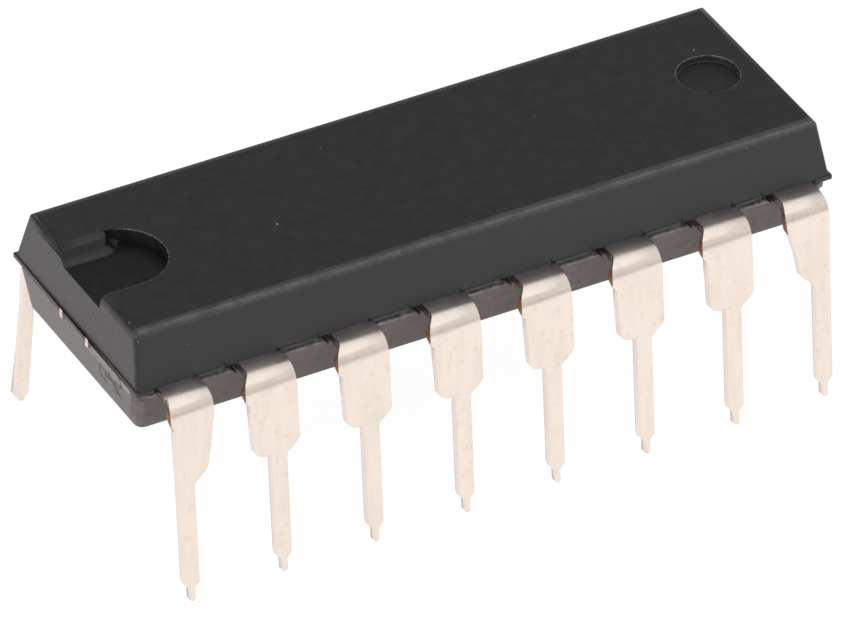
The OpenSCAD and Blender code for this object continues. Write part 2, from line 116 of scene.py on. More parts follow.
CORNER_LEAD = (
    ("root", -0.227, -0.227, 0.887),
    (0, -0.227, -0.227, 0.887),
    (-14, -0.235, -0.24, 0.88),
    (-28, -0.265, -0.275, 0.88),
    (-42, -0.295, -0.31, 0.88),
    (-56, -0.315, -0.325, 0.87),
    (-70, -0.33, -0.335, 0.86),
    ("bent", -0.335, -0.325, 0.845),
    (5.06, -0.33, -0.29, 0.84),
    (4.95, -0.285, -0.25, 0.835),
    (4.84, -0.24, -0.235, 0.80),
    (4.30, -0.23, -0.23, 0.73),
    (3.84, -0.225, -0.225, 0.65),
    (3.66, -0.22, -0.22, 0.61),
    (3.54, -0.22, -0.22, 0.52),
    (3.43, -0.22, -0.22, 0.39),
    (3.31, -0.22, -0.22, 0.25),
    (3.20, -0.22, -0.22, 0.22),
) + BLADE_TIP
# Seen from the front, lead 8 has its stub on the shouldered side. Below that it is a corner lead.
STUBBED_LEAD = (
    ("root", -0.227, -0.227, 0.887),
    (0, -0.227, -0.227, 0.887),
    (-14, -0.23, -0.23, 0.90),
    (-28, -0.235, -0.235, 0.93),
    (-42, -0.24, -0.24, 0.965),
    (-56, -0.24, -0.24, 0.985),
    (-70, -0.24, -0.24, 0.99),
    ("bent", -0.24, -0.24, 0.985),
    (5.06, -0.24, -0.24, 0.975),
    (4.95, -0.24, -0.24, 0.94),
    (4.84, -0.235, -0.235, 0.89),
) + CORNER_LEAD[11:]
# The last lead has lost its nib and leans a little
WORN_LEAD = CORNER_LEAD[:2] + (
    (-14, -0.20, -0.20, 0.88),
    (-28, -0.16, -0.16, 0.88),
    (-42, -0.14, -0.14, 0.88),
    (-56, -0.13, -0.13, 0.87),
    (-70, -0.13, -0.13, 0.86),
    ("bent", -0.13, -0.13, 0.845),
    (5.06, -0.13, -0.13, 0.84),
    (4.84, -0.13, -0.13, 0.80),
    (4.30, -0.14, -0.14, 0.73),
    (3.84, -0.15, -0.15, 0.65),
    (3.66, -0.14, -0.14, 0.61),
    (3.54, -0.135, -0.135, 0.52),
    (3.43, -0.13, -0.13, 0.39),
    (3.31, -0.125, -0.125, 0.25),
    (3.20, -0.13, -0.13, 0.20),
    (1.80, -0.185, -0.185, 0.165),
    (0.36, -0.265, -0.265, 0.135),
    (0.22, -0.18, -0.18, 0.05),
    (0.12, -0.09, -0.09, -0.01),
)

# The two hollows in the top face
NOTCH_RADIUS = 1.18 * MM
NOTCH_DEPTH = 0.37 * MM
NOTCH_PLACE = (1.28 * MM - END_X, 0.13 * MM, 0.0)
MARK_RADIUS = 0.8 * MM
MARK_PLACE = (END_X - 1.57 * MM, 0.15 * MM, 0.0)

# Where corners of the notch's slope are moved from and to. These places and the two below are in
# millimetres from the middle of the notch's round end, on the floor.
NOTCH_MOVES = (
    ((-1.165, 0.68, 0.0), (-1.165, 0.80, 0.0)),
    ((-1.149, 0.825, 0.155), (-1.149, 0.873, 0.155)),
    ((-1.124, 0.904, 0.239), (-1.124, 0.912, 0.239)),
    ((-1.071, 0.969, 0.308), (-1.071, 0.944, 0.308)),
    ((-1.052, 0.98, 0.32), (-1.052, 0.95, 0.32)),
    ((-0.3, 0.68, 0.0), (0.12, 0.80, 0.0)),
    ((0.3, 0.98, 0.32), (0.12, 0.95, 0.32)),
    ((0.331, 1.133, 0.358), (0.331, 1.133, 0.0)),
    ((0.488, 1.074, 0.344), (0.331, 1.133, 0.0)),
    ((0.488, 1.074, 0.0), (0.331, 1.133, 0.0)),
)
# The end of the slope's crest after the moves, and the corner of the rim above it
CREST_END = Vector((0.12, 0.95, 0.32))
RIM_CORNER = Vector((0.167, 1.168, 0.367))
SLOPE_ROUND = 0.16 * MM
CREST_ROUND = 0.06 * MM

# How much lower the lower half's bottom edge lies than in the solid, and how far up its corners reach
BOTTOM_SAG = 0.035 * MM
BOTTOM_REACH = 0.1 * MM

# Vertices that are closer than this are one: in the meshes of the solids, and after a bevel or a move
SAME_CORNER = 0.0004 * MM
SAME_POINT = 0.0002 * MM
# How far a finger reaches past the root, into its strip
FINGER_LAP = 0.05 * MM
# Faces whose areas differ by less than this, in square metres, count alike where normals are weighted
SAME_AREA = 1e-7
# Faces of the body that are wider than this are shaded flat
FLAT_WIDTH = 0.22 * MM

# Colours of the tin plate in its clouds, its streaks and on the strip's sides, of the dark body's painted
# reflection on the flats, and of the dirt on the nib and the dark band above the cut copper
PALE_TIN = (0.9, 0.79, 0.72)
DRAWN_TIN = (0.72, 0.64, 0.55)
SIDE_TIN = (0.83, 0.70, 0.67)
BODY_REFLECTION_TINT = (0.40, 0.372, 0.395)
DIRT = (0.2, 0.16, 0.14)
DARK_BAND_COLOUR = (0.06, 0.048, 0.042)
GOLD = (0.95, 0.68, 0.25)

# Grains of dust, as a place in millimetres on the resin and a length in millimetres
DUST = (
    ((-9.37, -2.33, 7.08), 0.075),
    ((-9.49, -2.99, 6.98), 0.05),
    ((-8.12, -2.997, 6.441), 0.05),
    ((-9.582, -0.84, 6.292), 0.09),
    ((-4.354, -0.44, 7.10), 0.11),
    ((7.475, -2.842, 6.934), 0.07),
    ((8.285, 1.216, 7.10), 0.09),
    ((3.4, 0.6, 7.10), 0.05),
    ((-1.9, 1.9, 7.10), 0.045),
    ((5.2, -1.7, 7.10), 0.045),
)


class BodySettings(bpy.types.PropertyGroup):
    """Colours of the resin, and the rounding of its edges"""

    resin: bpy.props.FloatVectorProperty(
        name="Resin", description="Colour of the smooth resin", subtype="COLOR",
        default=(0.0128, 0.012, 0.013),
    )
    # Painted light: the ends' resin is rougher and warmer, and its colour is also made lighter as if lit
    # from the left
    end_resin_and_light: bpy.props.FloatVectorProperty(
        name="Resin at the ends", description="Colour of the resin on the ends of the upper half",
        subtype="COLOR", default=(0.056, 0.048, 0.045),
    )
    rough_resin: bpy.props.FloatVectorProperty(
        name="Rough resin", description="Colour of the resin on the lower half", subtype="COLOR",
        default=(0.136, 0.113, 0.107),
    )
    # The flecks' colour also paints the highlights on the rims, the long edges, the lower half's top edge
    # and the gate ridge
    fleck_and_highlight: bpy.props.FloatVectorProperty(
        name="Filler flecks", description="Colour of the filler that shows on rough faces", subtype="COLOR",
        default=(0.2, 0.185, 0.175),
    )
    edge_round: bpy.props.FloatProperty(
        name="Edge rounding", description="Rounding of the resin's sharp edges", default=0.022 * MM,
        unit="LENGTH", precision=6,
    )


class LeadSettings(bpy.types.PropertyGroup):
    """Colours of the leads, and the rolling of their edges"""

    tin: bpy.props.FloatVectorProperty(
        name="Tin", description="Colour of the tin plate", subtype="COLOR", default=(0.875, 0.761, 0.675)
    )
    copper: bpy.props.FloatVectorProperty(
        name="Copper", description="Colour of the bare strip where the plate is cut", subtype="COLOR",
        default=(0.33, 0.15, 0.095),
    )
    edge_roll: bpy.props.FloatProperty(
        name="Edge roll", description="Rounding that the stamping leaves on a lead's edges",
        default=0.03 * MM, unit="LENGTH", precision=6,
    )


class StageSettings(bpy.types.PropertyGroup):
    """The floor, the light and the camera"""

    floor: bpy.props.FloatProperty(name="Floor", description="Brightness of the pale floor", default=0.8)
    overhead: bpy.props.FloatProperty(
        name="Overhead light", description="Power of the soft box over the chip", default=0.06, unit="POWER"
    )
    sky_top: bpy.props.FloatProperty(
        name="Sky overhead", description="Strength of the light from above and in front", default=0.8
    )
    sky_back: bpy.props.FloatProperty(
        name="Sky behind", description="Strength of the light from high up behind", default=0.2
    )
    sky_low: bpy.props.FloatProperty(
        name="Low sky in front", description="Strength of the light from low in front", default=0.68
    )
    sky_behind: bpy.props.FloatProperty(
        name="Low sky behind", description="Strength of the light from low behind", default=0.9
    )
    camera_place: bpy.props.FloatVectorProperty(
        name="Camera", description="Where the camera stands", subtype="TRANSLATION", unit="LENGTH",
        default=(-0.110757, -0.199882, 0.170702),
    )
    camera_turn: bpy.props.FloatVectorProperty(
        name="Camera turn", description="How the camera is turned", subtype="EULER", unit="ROTATION",
        default=(math.radians(53.663), math.radians(-0.509), math.radians(-28.644)),
    )
    camera_lens: bpy.props.FloatProperty(
        name="Lens", description="Focal length of the camera on a 36 mm wide sensor", default=481.82
    )


class Tree:
    """Adds and links the nodes of one tree."""

    def __init__(self, tree):
        self.tree = tree

    def add(self, kind, inputs=None, **settings):
        made = self.tree.nodes.new(kind)
        for name, value in settings.items():
            setattr(made, name, value)
        for name, value in (inputs or {}).items():
            self.put(made, name, value)
        return made

    def put(self, made, name, value):
        self.fill(made.inputs[name], value)

    def fill(self, socket, value):
        if isinstance(value, bpy.types.Node):
            value = value.outputs[0]
        if isinstance(value, bpy.types.NodeSocket):
            self.tree.links.new(value, socket)
        else:
            socket.default_value = value

    def math(self, operation, a, b=None):
        inputs = {0: a} if b is None else {0: a, 1: b}
        return self.add("ShaderNodeMath", inputs, operation=operation)

    def times(self, first, *others):
        """The product of all the given values."""
        for other in others:
            first = self.math("MULTIPLY", first, other)
        return first

    def ramp(self, value, low, high, to_low=0.0, to_high=1.0):
        """A smooth step from low to high."""
        return self.add(
            "ShaderNodeMapRange",
            {"Value": value, "From Min": low, "From Max": high, "To Min": to_low, "To Max": to_high},
            interpolation_type="SMOOTHSTEP",
        )

    def band(self, value, low, high, soft):
        """1 between low and high, with soft ends."""
        return self.times(self.ramp(value, low - soft, low), self.ramp(value, high + soft, high))

    def mix(self, factor, a, b):
        """A mix of two colours."""
        made = self.add("ShaderNodeMix", data_type="RGBA")
        self.fill(next(s for s in made.inputs if s.name == "Factor" and s.type == "VALUE"), factor)
        for name, colour in (("A", a), ("B", b)):
            if not isinstance(colour, (bpy.types.Node, bpy.types.NodeSocket)):
                colour = (*colour[:3], 1.0)
            self.fill(next(s for s in made.inputs if s.name == name and s.type == "RGBA"), colour)
        return next(s for s in made.outputs if s.type == "RGBA")

    def noise(self, place, size, detail=2.0, roughness=0.5):
        """Noise from 0 to 1, whose features are about as large as the size, a number or a socket."""
        scale = self.math("DIVIDE", 1.0, size) if isinstance(size, bpy.types.NodeSocket) else 1 / size
        return self.add("ShaderNodeTexNoise", {
            "Vector": place, "Scale": scale, "Detail": detail, "Roughness": roughness,
        })

    def stretched(self, place, stretch):
        """The place, drawn together along each axis, so that a pattern on it is drawn out."""
        return self.add("ShaderNodeVectorMath", {0: place, 1: stretch}, operation="MULTIPLY")

    def split(self, vector):
        return self.add("ShaderNodeSeparateXYZ", {0: vector})

    def facing(self):
        """The direction in which a face looks, split into its axes."""
        return self.split(self.add("ShaderNodeNewGeometry").outputs["Normal"])

    def away(self, parts, axis):
        """How far a split vector reaches along one axis, to either side."""
        return self.math("ABSOLUTE", parts.outputs[axis])

    def group(self, group, inputs):
        made = self.add("ShaderNodeGroup", node_tree=group)
        for name, value in inputs.items():
            self.put(made, name, value)
        return made


def shader_group(name, inputs, outputs):
    """A new node group with the given sockets, and its input and output nodes."""
    group = bpy.data.node_groups.new(name, "ShaderNodeTree")
    for socket, kind, default in inputs:
        made = group.interface.new_socket(socket, in_out="INPUT", socket_type="NodeSocket" + kind)
        if default is not None:
            made.default_value = default
    for socket, kind in outputs:
        group.interface.new_socket(socket, in_out="OUTPUT", socket_type="NodeSocket" + kind)
    tree = Tree(group)
    return tree, tree.add("NodeGroupInput"), tree.add("NodeGroupOutput")


def fleck_group():
    """Small scattered flecks on a cloudy ground, as a mask and a cloud."""
    made = bpy.data.node_groups.get("Flecks")
    if made:
        return made
    tree, given, out = shader_group(
        "Flecks",
        [("Place", "Vector", None), ("Fleck Size", "Float", 0.05 * MM), ("Cloud Size", "Float", 0.4 * MM),
         ("Amount", "Float", 0.5)],
        [("Flecks", "Float"), ("Cloud", "Float")],
    )
    fine = tree.noise(given.outputs["Place"], given.outputs["Fleck Size"], 3.0, 0.65)
    cloud = tree.noise(given.outputs["Place"], given.outputs["Cloud Size"], 4.0, 0.6)
    threshold = tree.math("SUBTRACT", 0.78, tree.times(given.outputs["Amount"], 0.3))
    tree.put(out, "Flecks", tree.ramp(fine, threshold, tree.math("ADD", threshold, 0.12)))
    tree.put(out, "Cloud", tree.ramp(cloud, 0.3, 0.7))
    return tree.tree


def grain_group():
    """Fine surface grain, put out as a normal."""
    made = bpy.data.node_groups.get("Grain")
    if made:
        return made
    tree, given, out = shader_group(
        "Grain",
        [("Place", "Vector", None), ("Size", "Float", 0.04 * MM), ("Depth", "Float", 0.002 * MM),
         ("Extra Height", "Float", 0.0)],
        [("Normal", "Vector")],
    )
    grain = tree.noise(given.outputs["Place"], given.outputs["Size"], 3.0, 0.6)
    height = tree.math("ADD", grain, given.outputs["Extra Height"])
    tree.put(out, "Normal", tree.add("ShaderNodeBump", {
        "Strength": 1.0, "Distance": given.outputs["Depth"], "Height": height,
    }))
    return tree.tree


def hollow_group():
    """Masks of a hollow in the top face: its inside, and a thin line along its rim. Run is how far its
    round outline goes on towards the notch end; with no run it stays open there."""
    made = bpy.data.node_groups.get("Hollow")
    if made:
        return made
    tree, given, out = shader_group(
        "Hollow",
        [("Place", "Vector", None), ("Centre", "Vector", None), ("Radius", "Float", MM),
         ("Run", "Float", 0.0)],
        [("Inside", "Float"), ("Rim", "Float")],
    )
    offset = tree.split(tree.add("ShaderNodeVectorMath", {
        0: given.outputs["Place"], 1: given.outputs["Centre"],
    }, operation="SUBTRACT"))
    along = tree.math("MAXIMUM", offset.outputs["X"], tree.math("SUBTRACT", 0.0, given.outputs["Run"]))
    flat = tree.add("ShaderNodeCombineXYZ", {"X": along, "Y": offset.outputs["Y"]})
    reach = tree.add("ShaderNodeVectorMath", {0: flat}, operation="LENGTH").outputs["Value"]
    distance = tree.math("SUBTRACT", reach, given.outputs["Radius"])
    height = tree.split(given.outputs["Place"]).outputs["Z"]
    under = tree.band(height, TOP_Z - NOTCH_DEPTH - 0.04 * MM, TOP_Z - 0.03 * MM, 0.02 * MM)
    inside = tree.times(tree.ramp(distance, 0.02 * MM, -0.005 * MM), under)
    rim = tree.times(tree.ramp(tree.math("ABSOLUTE", distance), 0.035 * MM, 0.012 * MM),
                     tree.ramp(height, TOP_Z - 0.04 * MM, TOP_Z - 0.015 * MM))
    tree.put(out, "Inside", inside)
    tree.put(out, "Rim", rim)
    return tree.tree


def new_material(name):
    """A material with an empty node tree, its shader and the object's own coordinates."""
    material = bpy.data.materials.new(name)
    material.use_nodes = True
    tree = Tree(material.node_tree)
    tree.tree.nodes.clear()
    out = tree.add("ShaderNodeOutputMaterial")
    shader = tree.add("ShaderNodeBsdfPrincipled")
    tree.tree.links.new(shader.outputs[0], out.inputs["Surface"])
    place = tree.add("ShaderNodeTexCoord").outputs["Object"]
    return material, tree, shader, place


def give_material(piece, material):
    """Makes a material the only one of a piece."""
    piece.data.materials.clear()
    piece.data.materials.append(material)


def scaled(colour, factor):
    """A colour made lighter or darker."""
    return [factor * c for c in colour]


def cloudy(tree, cloud, colour, dark, light):
    """A colour that goes from its darker to its lighter share with a cloud."""
    return tree.mix(cloud, scaled(colour, dark), scaled(colour, light))


def put_grain(tree, shader, place, size, depth, extra=0.0):
    """Gives a shader a fine grain of a size and a depth, on top of an extra height."""
    tree.put(shader, "Normal", tree.group(grain_group(), {
        "Place": place, "Size": size, "Depth": depth, "Extra Height": extra,
    }))


def worn_long_edge(tree, place, at, facing):
    """The rubbed band along the long top edges: real wear, painted lighter so that it also stands in for a
    broad highlight on the rounded edge.
    """
    rounding = tree.band(facing.outputs["Z"], 0.48, 0.978, 0.02)
    beside = tree.ramp(tree.away(at, "Y"), SIDE_Y - 0.66 * MM, SIDE_Y - 0.6 * MM)
    side_ward = tree.ramp(tree.away(facing, "Y"), 0.2, 0.4)
    near_top = tree.ramp(at.outputs["Z"], TOP_Z - 0.2 * MM, TOP_Z - 0.1 * MM)
    outer = tree.ramp(tree.away(at, "Y"), SIDE_Y - 0.9 * MM, SIDE_Y - 0.6 * MM)
    scratches = tree.times(tree.ramp(tree.noise(place, 0.05 * MM, 4.0, 0.7), 0.3, 0.62, 0.3, 1.0),
                           tree.ramp(tree.noise(place, 0.5 * MM, 2.0), 0.3, 0.6, 0.6, 1.0))
    rubbed = tree.math("MAXIMUM", tree.times(rounding, side_ward, outer), tree.times(beside, 0.5))
    return tree.times(rubbed, near_top, scratches)


def gate_masks(tree, place, at):
    """The torn gate on the notch end: a pale ragged ridge, partly a painted highlight, and dark pits under
    it, painted as shade.
    """
    end = tree.ramp(at.outputs["X"], 0.35 * MM - END_X, 0.15 * MM - END_X)
    ragged = tree.times(tree.math("SUBTRACT", tree.noise(place, 0.3 * MM, 4.0, 0.6), 0.5), 0.5 * MM)
    height = tree.math("ADD", at.outputs["Z"], ragged)
    ridge_run = tree.band(at.outputs["Y"], -2.75 * MM, -0.62 * MM, 0.12 * MM)
    ridge = tree.times(end, ridge_run, tree.band(height, LOWER_TOP_Z - 0.17 * MM, LOWER_TOP_Z, 0.03 * MM))
    pit_run = tree.band(at.outputs["Y"], -2.2 * MM, -1.25 * MM, 0.15 * MM)
    pit_height = tree.band(height, LOWER_TOP_Z - 0.62 * MM, LOWER_TOP_Z - 0.24 * MM, 0.05 * MM)
    blobs = tree.ramp(tree.noise(place, 0.3 * MM, 3.0, 0.5), 0.44, 0.52)
    return ridge, tree.times(end, pit_run, pit_height, blobs)


def resin_ground(tree, facing, cloud, end_face, lower_half, settings):
    """The resin's colour: darkest on top, with the sides painted lighter as lit, the rougher ends also
    painted lighter as lit from the left, and the lower half palest, its ends painted lighter than its sides.
    """
    top = cloudy(tree, cloud, settings.resin, 0.9, 1.1)
    # Painted light: the sides are the same resin painted lighter than the top, as lit
    side = cloudy(tree, cloud, settings.resin, 2.2, 2.5)
    # The upper ends are rougher, warmer resin, also painted lighter as lit from the left
    end = cloudy(tree, cloud, settings.end_resin_and_light, 0.6, 1.4)
    low_side = cloudy(tree, cloud, settings.rough_resin, 0.75, 1.25)
    # Painted light: the lower half's ends are its own rough resin painted lighter, as lit from the left
    painted_lit_low_end = cloudy(tree, cloud, settings.rough_resin, 0.9, 1.5)
    side_face = tree.ramp(tree.away(facing, "Y"), 0.5, 0.9)
    upper = tree.mix(end_face, tree.mix(side_face, top, side), end)
    return tree.mix(lower_half, upper, tree.mix(end_face, low_side, painted_lit_low_end))


def flash_and_highlight_mask(tree, place, at):
    """Ragged flash along the top of the lower half, painted lighter as a highlight on that edge, fainter on
    the ends than on the webs.
    """
    outer_side = tree.ramp(tree.away(at, "Y"), SIDE_Y - 0.3 * MM, SIDE_Y - 0.2 * MM, 0.35, 1.0)
    ragged = tree.ramp(tree.noise(place, 0.16 * MM, 4.0, 0.6), 0.4, 0.62)
    edge = tree.band(at.outputs["Z"], LOWER_TOP_Z - 0.06 * MM, LOWER_TOP_Z + 0.01 * MM, 0.03 * MM)
    return tree.times(ragged, outer_side, edge)


def resin_material(settings):
    """Moulded epoxy: matt and dark on top, mottled at the ends and below, worn along its edges, with painted
    light and shade: lighter sides and ends, shade in the hollows and the gate's pits, highlights on the rims
    and edges.
    """
    material, tree, shader, place = new_material("moulded_resin")
    at = tree.split(place)
    facing = tree.facing()
    end_face = tree.ramp(tree.away(facing, "X"), 0.5, 0.9)
    lower_half = tree.ramp(at.outputs["Z"], LOWER_TOP_Z + 0.1 * MM, LOWER_TOP_Z + 0.02 * MM)
    rough_face = tree.math("MAXIMUM", end_face, lower_half)
    notch = tree.group(hollow_group(), {"Place": place, "Centre": NOTCH_PLACE, "Radius": NOTCH_RADIUS})
    mark = tree.group(hollow_group(), {
        "Place": place, "Centre": MARK_PLACE, "Radius": MARK_RADIUS, "Run": 10 * MM,
    })
    fine = tree.group(fleck_group(), {
        "Place": place, "Fleck Size": 0.035 * MM, "Cloud Size": 0.3 * MM, "Amount": 0.6,
    })
    coarse = tree.group(fleck_group(), {
        "Place": place, "Fleck Size": 0.11 * MM, "Cloud Size": 0.9 * MM, "Amount": 0.3,
    })
    ridge, pits = gate_masks(tree, place, at)
    worn = worn_long_edge(tree, place, at, facing)
    # The rounded edges' faces, broken up by noise, mask a painted highlight
    edges = tree.add("ShaderNodeAttribute", attribute_name="highlight_faces").outputs["Fac"]
    patchy_edge_highlight = tree.times(edges, tree.ramp(tree.noise(place, 0.09 * MM, 3.0, 0.6), 0.38, 0.6))

    ground = resin_ground(tree, facing, fine.outputs["Cloud"], end_face, lower_half, settings)
    fleck_share = tree.times(fine.outputs["Flecks"], tree.ramp(rough_face, 0.0, 1.0, 0.05, 0.55))
    spot_share = tree.times(coarse.outputs["Flecks"], rough_face, 0.5)
    flecked = tree.mix(tree.math("MAXIMUM", fleck_share, spot_share), ground, settings.fleck_and_highlight)
    # Painted shade: the inside of the notch and, faintly, of the mark are painted darker, as the shade in
    # these hollows
    hollows = tree.math("MAXIMUM", notch.outputs["Inside"], tree.times(mark.outputs["Inside"], 0.2))
    darker = tree.mix(tree.times(hollows, 0.8), flecked, scaled(settings.resin, 0.3))
    # Painted highlight: a broken light line along the rims of the notch and the mark, which with the worn
    # band along the long top edges lightens the colour
    rims = tree.math("MAXIMUM", notch.outputs["Rim"], mark.outputs["Rim"])
    light = tree.math("MAXIMUM", tree.times(worn, 0.62), tree.times(rims, patchy_edge_highlight, 0.9))
    rubbed = tree.mix(light, darker, settings.fleck_and_highlight)
    # Painted highlight: the ragged flash on the lower half's top edge is painted light, as that edge catches
    # the light
    flash_and_highlight = tree.times(flash_and_highlight_mask(tree, place, at), 0.85)
    flash_and_highlight_painted = tree.mix(flash_and_highlight, rubbed, scaled(settings.fleck_and_highlight, 1.7))
    # Partly painted highlight: the torn ridge is paler resin, also painted lighter as it catches the light
    ridged = tree.mix(tree.times(ridge, 0.85), flash_and_highlight_painted, scaled(settings.fleck_and_highlight, 2.2))
    # Painted shade: the pits are painted dark, as the shade inside them
    pit_shaded = tree.mix(tree.times(pits, 0.85), ridged, scaled(settings.resin, 0.5))
    tree.put(shader, "Base Color", pit_shaded)
    matt = tree.ramp(fine.outputs["Cloud"], 0.0, 1.0, 0.38, 0.46)
    tree.put(shader, "Roughness", tree.math("SUBTRACT", matt, tree.times(notch.outputs["Inside"], 0.14)))
    rough_depth = tree.ramp(rough_face, 0.0, 1.0, 0.0012 * MM, 0.004 * MM)
    depth = tree.math("ADD", rough_depth, tree.times(worn, 0.003 * MM))
    extra = tree.math("SUBTRACT", tree.times(ridge, 4.0), tree.times(pits, 6.0))
    put_grain(tree, shader, place, 0.045 * MM, depth, extra)
    return material


def cut_masks(tree, place, at, edge_face):
    """The bare copper where the dam bars were cut off the leads' sides, and a dark band just above it."""
    wave = tree.times(tree.math("SUBTRACT", tree.noise(place, 0.15 * MM, 3.0), 0.5), 0.3 * MM)
    height = tree.math("ADD", at.outputs["Z"], wave)
    outward = tree.ramp(tree.away(at, "Y"), SIDE_Y + 0.34 * MM, SIDE_Y + 0.42 * MM)
    copper = tree.band(height, FLAT_Z - 0.68 * MM, FLAT_Z - 0.19 * MM, 0.03 * MM)
    dark_band = tree.band(height, FLAT_Z - 0.2 * MM, FLAT_Z - 0.06 * MM, 0.03 * MM)
    return tree.times(edge_face, outward, copper), tree.times(edge_face, outward, dark_band)


def tin_plate(tree, place, small, settings):
    """The plate's own colour, with smudges, lighter clouds and streaks down the lead."""
    smudge = (0.76 * settings.tin[0], 0.73 * settings.tin[1], 0.66 * settings.tin[2])
    plate = tree.mix(tree.times(small.outputs["Flecks"], 0.35), settings.tin, smudge)
    toned = tree.mix(tree.times(small.outputs["Cloud"], 0.3), plate, PALE_TIN)
    drawn = tree.ramp(tree.noise(tree.stretched(place, (1.0, 1.0, 0.2)), 0.3 * MM, 3.0), 0.4, 0.68)
    return tree.mix(tree.times(drawn, 0.3), toned, DRAWN_TIN)


def tin_material(settings):
    """Dull tin plate over a copper strip, with bare copper where the dam bars were cut."""
    material, tree, shader, place = new_material("tin_plate")
    at = tree.split(place)
    facing = tree.facing()
    edge_face = tree.ramp(tree.away(facing, "X"), 0.65, 0.8)
    cut, dark_band = cut_masks(tree, place, at, edge_face)
    small = tree.group(fleck_group(), {
        "Place": tree.stretched(place, (1.0, 1.0, 0.7)), "Fleck Size": 0.22 * MM, "Cloud Size": 0.8 * MM,
        "Amount": 0.75,
    })
    plate = tin_plate(tree, place, small, settings)
    pale_edge = tree.mix(tree.times(edge_face, 0.6), plate, SIDE_TIN)
    # Painted reflection: the flats beside the body are painted darker and greyer, as the dark body mirrored
    # in them, and made a little rougher
    upward = tree.ramp(facing.outputs["Z"], 0.75, 0.97)
    painted_body_reflection = tree.times(upward, tree.ramp(tree.away(at, "Y"), SIDE_Y + 0.85 * MM, SIDE_Y))
    body_reflection_painted = tree.mix(tree.times(painted_body_reflection, 0.68), pale_edge, BODY_REFLECTION_TINT)
    # The clipped end of the nib is bare and dirty
    burr = tree.times(tree.ramp(at.outputs["Z"], 0.08 * MM, 0.03 * MM),
                      tree.ramp(tree.noise(place, 0.07 * MM), 0.38, 0.55))
    dirty = tree.mix(tree.times(burr, 0.75), body_reflection_painted, DIRT)
    tone = tree.ramp(tree.noise(place, 0.06 * MM, 3.0), 0.35, 0.65)
    coppered = tree.mix(cut, dirty, cloudy(tree, tone, settings.copper, 0.55, 1.35))
    tree.put(shader, "Base Color", tree.mix(tree.times(dark_band, 0.8), coppered, DARK_BAND_COLOUR))
    bare = tree.math("MAXIMUM", cut, dark_band)
    tree.put(shader, "Metallic", tree.ramp(bare, 0.0, 1.0, 1.0, 0.15))
    polish = tree.math("ADD", tree.ramp(small.outputs["Cloud"], 0.0, 1.0, 0.22, 0.3), tree.times(painted_body_reflection, 0.08))
    tree.put(shader, "Roughness", tree.math("ADD", polish, tree.times(bare, 0.3)))
    put_grain(tree, shader, tree.stretched(place, (1.0, 0.1, 0.1)), 0.03 * MM, 0.0007 * MM)
    return material


def gold_material():
    """Drawn gold wire with slight changes of tone."""
    material, tree, shader, place = new_material("gold_wire")
    tone = tree.ramp(tree.noise(place, 0.3 * MM, 3.0), 0.3, 0.7)
    tree.put(shader, "Base Color", cloudy(tree, tone, GOLD, 0.85, 1.0))
    tree.put(shader, "Metallic", 1.0)
    tree.put(shader, "Roughness", tree.ramp(tone, 0.0, 1.0, 0.18, 0.28))
    put_grain(tree, shader, place, 0.01 * MM, 0.0004 * MM)
    return material


def strip_material():
    """The pad's bare copper alloy, which the plating covers on the tie bars' cut ends outside the resin."""
    material, tree, shader, place = new_material("bare_strip")
    outside = tree.ramp(tree.away(tree.split(place), "X"), END_X - 0.3 * MM, END_X - 0.2 * MM)
    tone = tree.ramp(tree.noise(place, 0.06 * MM, 3.0), 0.35, 0.65)
    bare = tree.mix(tone, (0.62, 0.34, 0.25), (0.75, 0.42, 0.30))
    smeared = tree.mix(tone, (0.62, 0.42, 0.38), (0.9, 0.8, 0.75))
    tree.put(shader, "Base Color", tree.mix(outside, bare, smeared))
    tree.put(shader, "Metallic", 1.0)
    tree.put(shader, "Roughness", tree.ramp(tone, 0.0, 1.0, 0.42, 0.3))
    put_grain(tree, shader, place, 0.04 * MM, 0.002 * MM)
    return material


def adhesive_material():
    """Silver-filled paste."""
    material, tree, shader, place = new_material("silver_paste")
    flake = tree.ramp(tree.noise(place, 0.02 * MM, 4.0, 0.7), 0.45, 0.65)
    tree.put(shader, "Base Color", tree.mix(flake, (0.3, 0.3, 0.32), (0.7, 0.7, 0.72)))
    tree.put(shader, "Metallic", tree.times(flake, 0.6))
    tree.put(shader, "Roughness", 0.55)
    put_grain(tree, shader, place, 0.03 * MM, 0.003 * MM)
    return material


def silicon_material():
    """A polished die with a grid of blocks on its face."""
    material, tree, shader, place = new_material("silicon_die")
    blocks = tree.add("ShaderNodeTexBrick", {
        "Vector": place, "Scale": 1.0, "Mortar Size": 0.012 * MM, "Brick Width": 0.31 * MM,
        "Row Height": 0.17 * MM, "Color1": (0.09, 0.10, 0.16, 1), "Color2": (0.16, 0.13, 0.17, 1),
        "Mortar": (0.35, 0.34, 0.36, 1),
    })
    tracks = tree.add("ShaderNodeTexWave", {"Vector": place, "Scale": 12000.0, "Distortion": 0.0},
                      bands_direction="X").outputs["Fac"]
    etched = tree.mix(tree.times(tracks, 0.25), blocks.outputs["Color"], (0.25, 0.24, 0.3))
    tree.put(shader, "Base Color", etched)
    tree.put(shader, "Metallic", 0.4)
    tree.put(shader, "Roughness", tree.ramp(tracks, 0.0, 1.0, 0.12, 0.25))
    return material


def dust_material():
    """Pale grains of resin dust."""
    material, tree, shader, place = new_material("resin_dust")
    tone = tree.ramp(tree.noise(place, 0.03 * MM, 3.0), 0.35, 0.65)
    tree.put(shader, "Base Color", tree.mix(tone, (0.22, 0.21, 0.2), (0.5, 0.48, 0.46)))
    tree.put(shader, "Roughness", 0.75)
    put_grain(tree, shader, place, 0.02 * MM, 0.004 * MM)
    return material


def clear_selection():
    """Leaves edit mode and deselects every object."""
    if bpy.context.object and bpy.context.object.mode != "OBJECT":
        bpy.ops.object.mode_set(mode="OBJECT")
    bpy.ops.object.select_all(action="DESELECT")


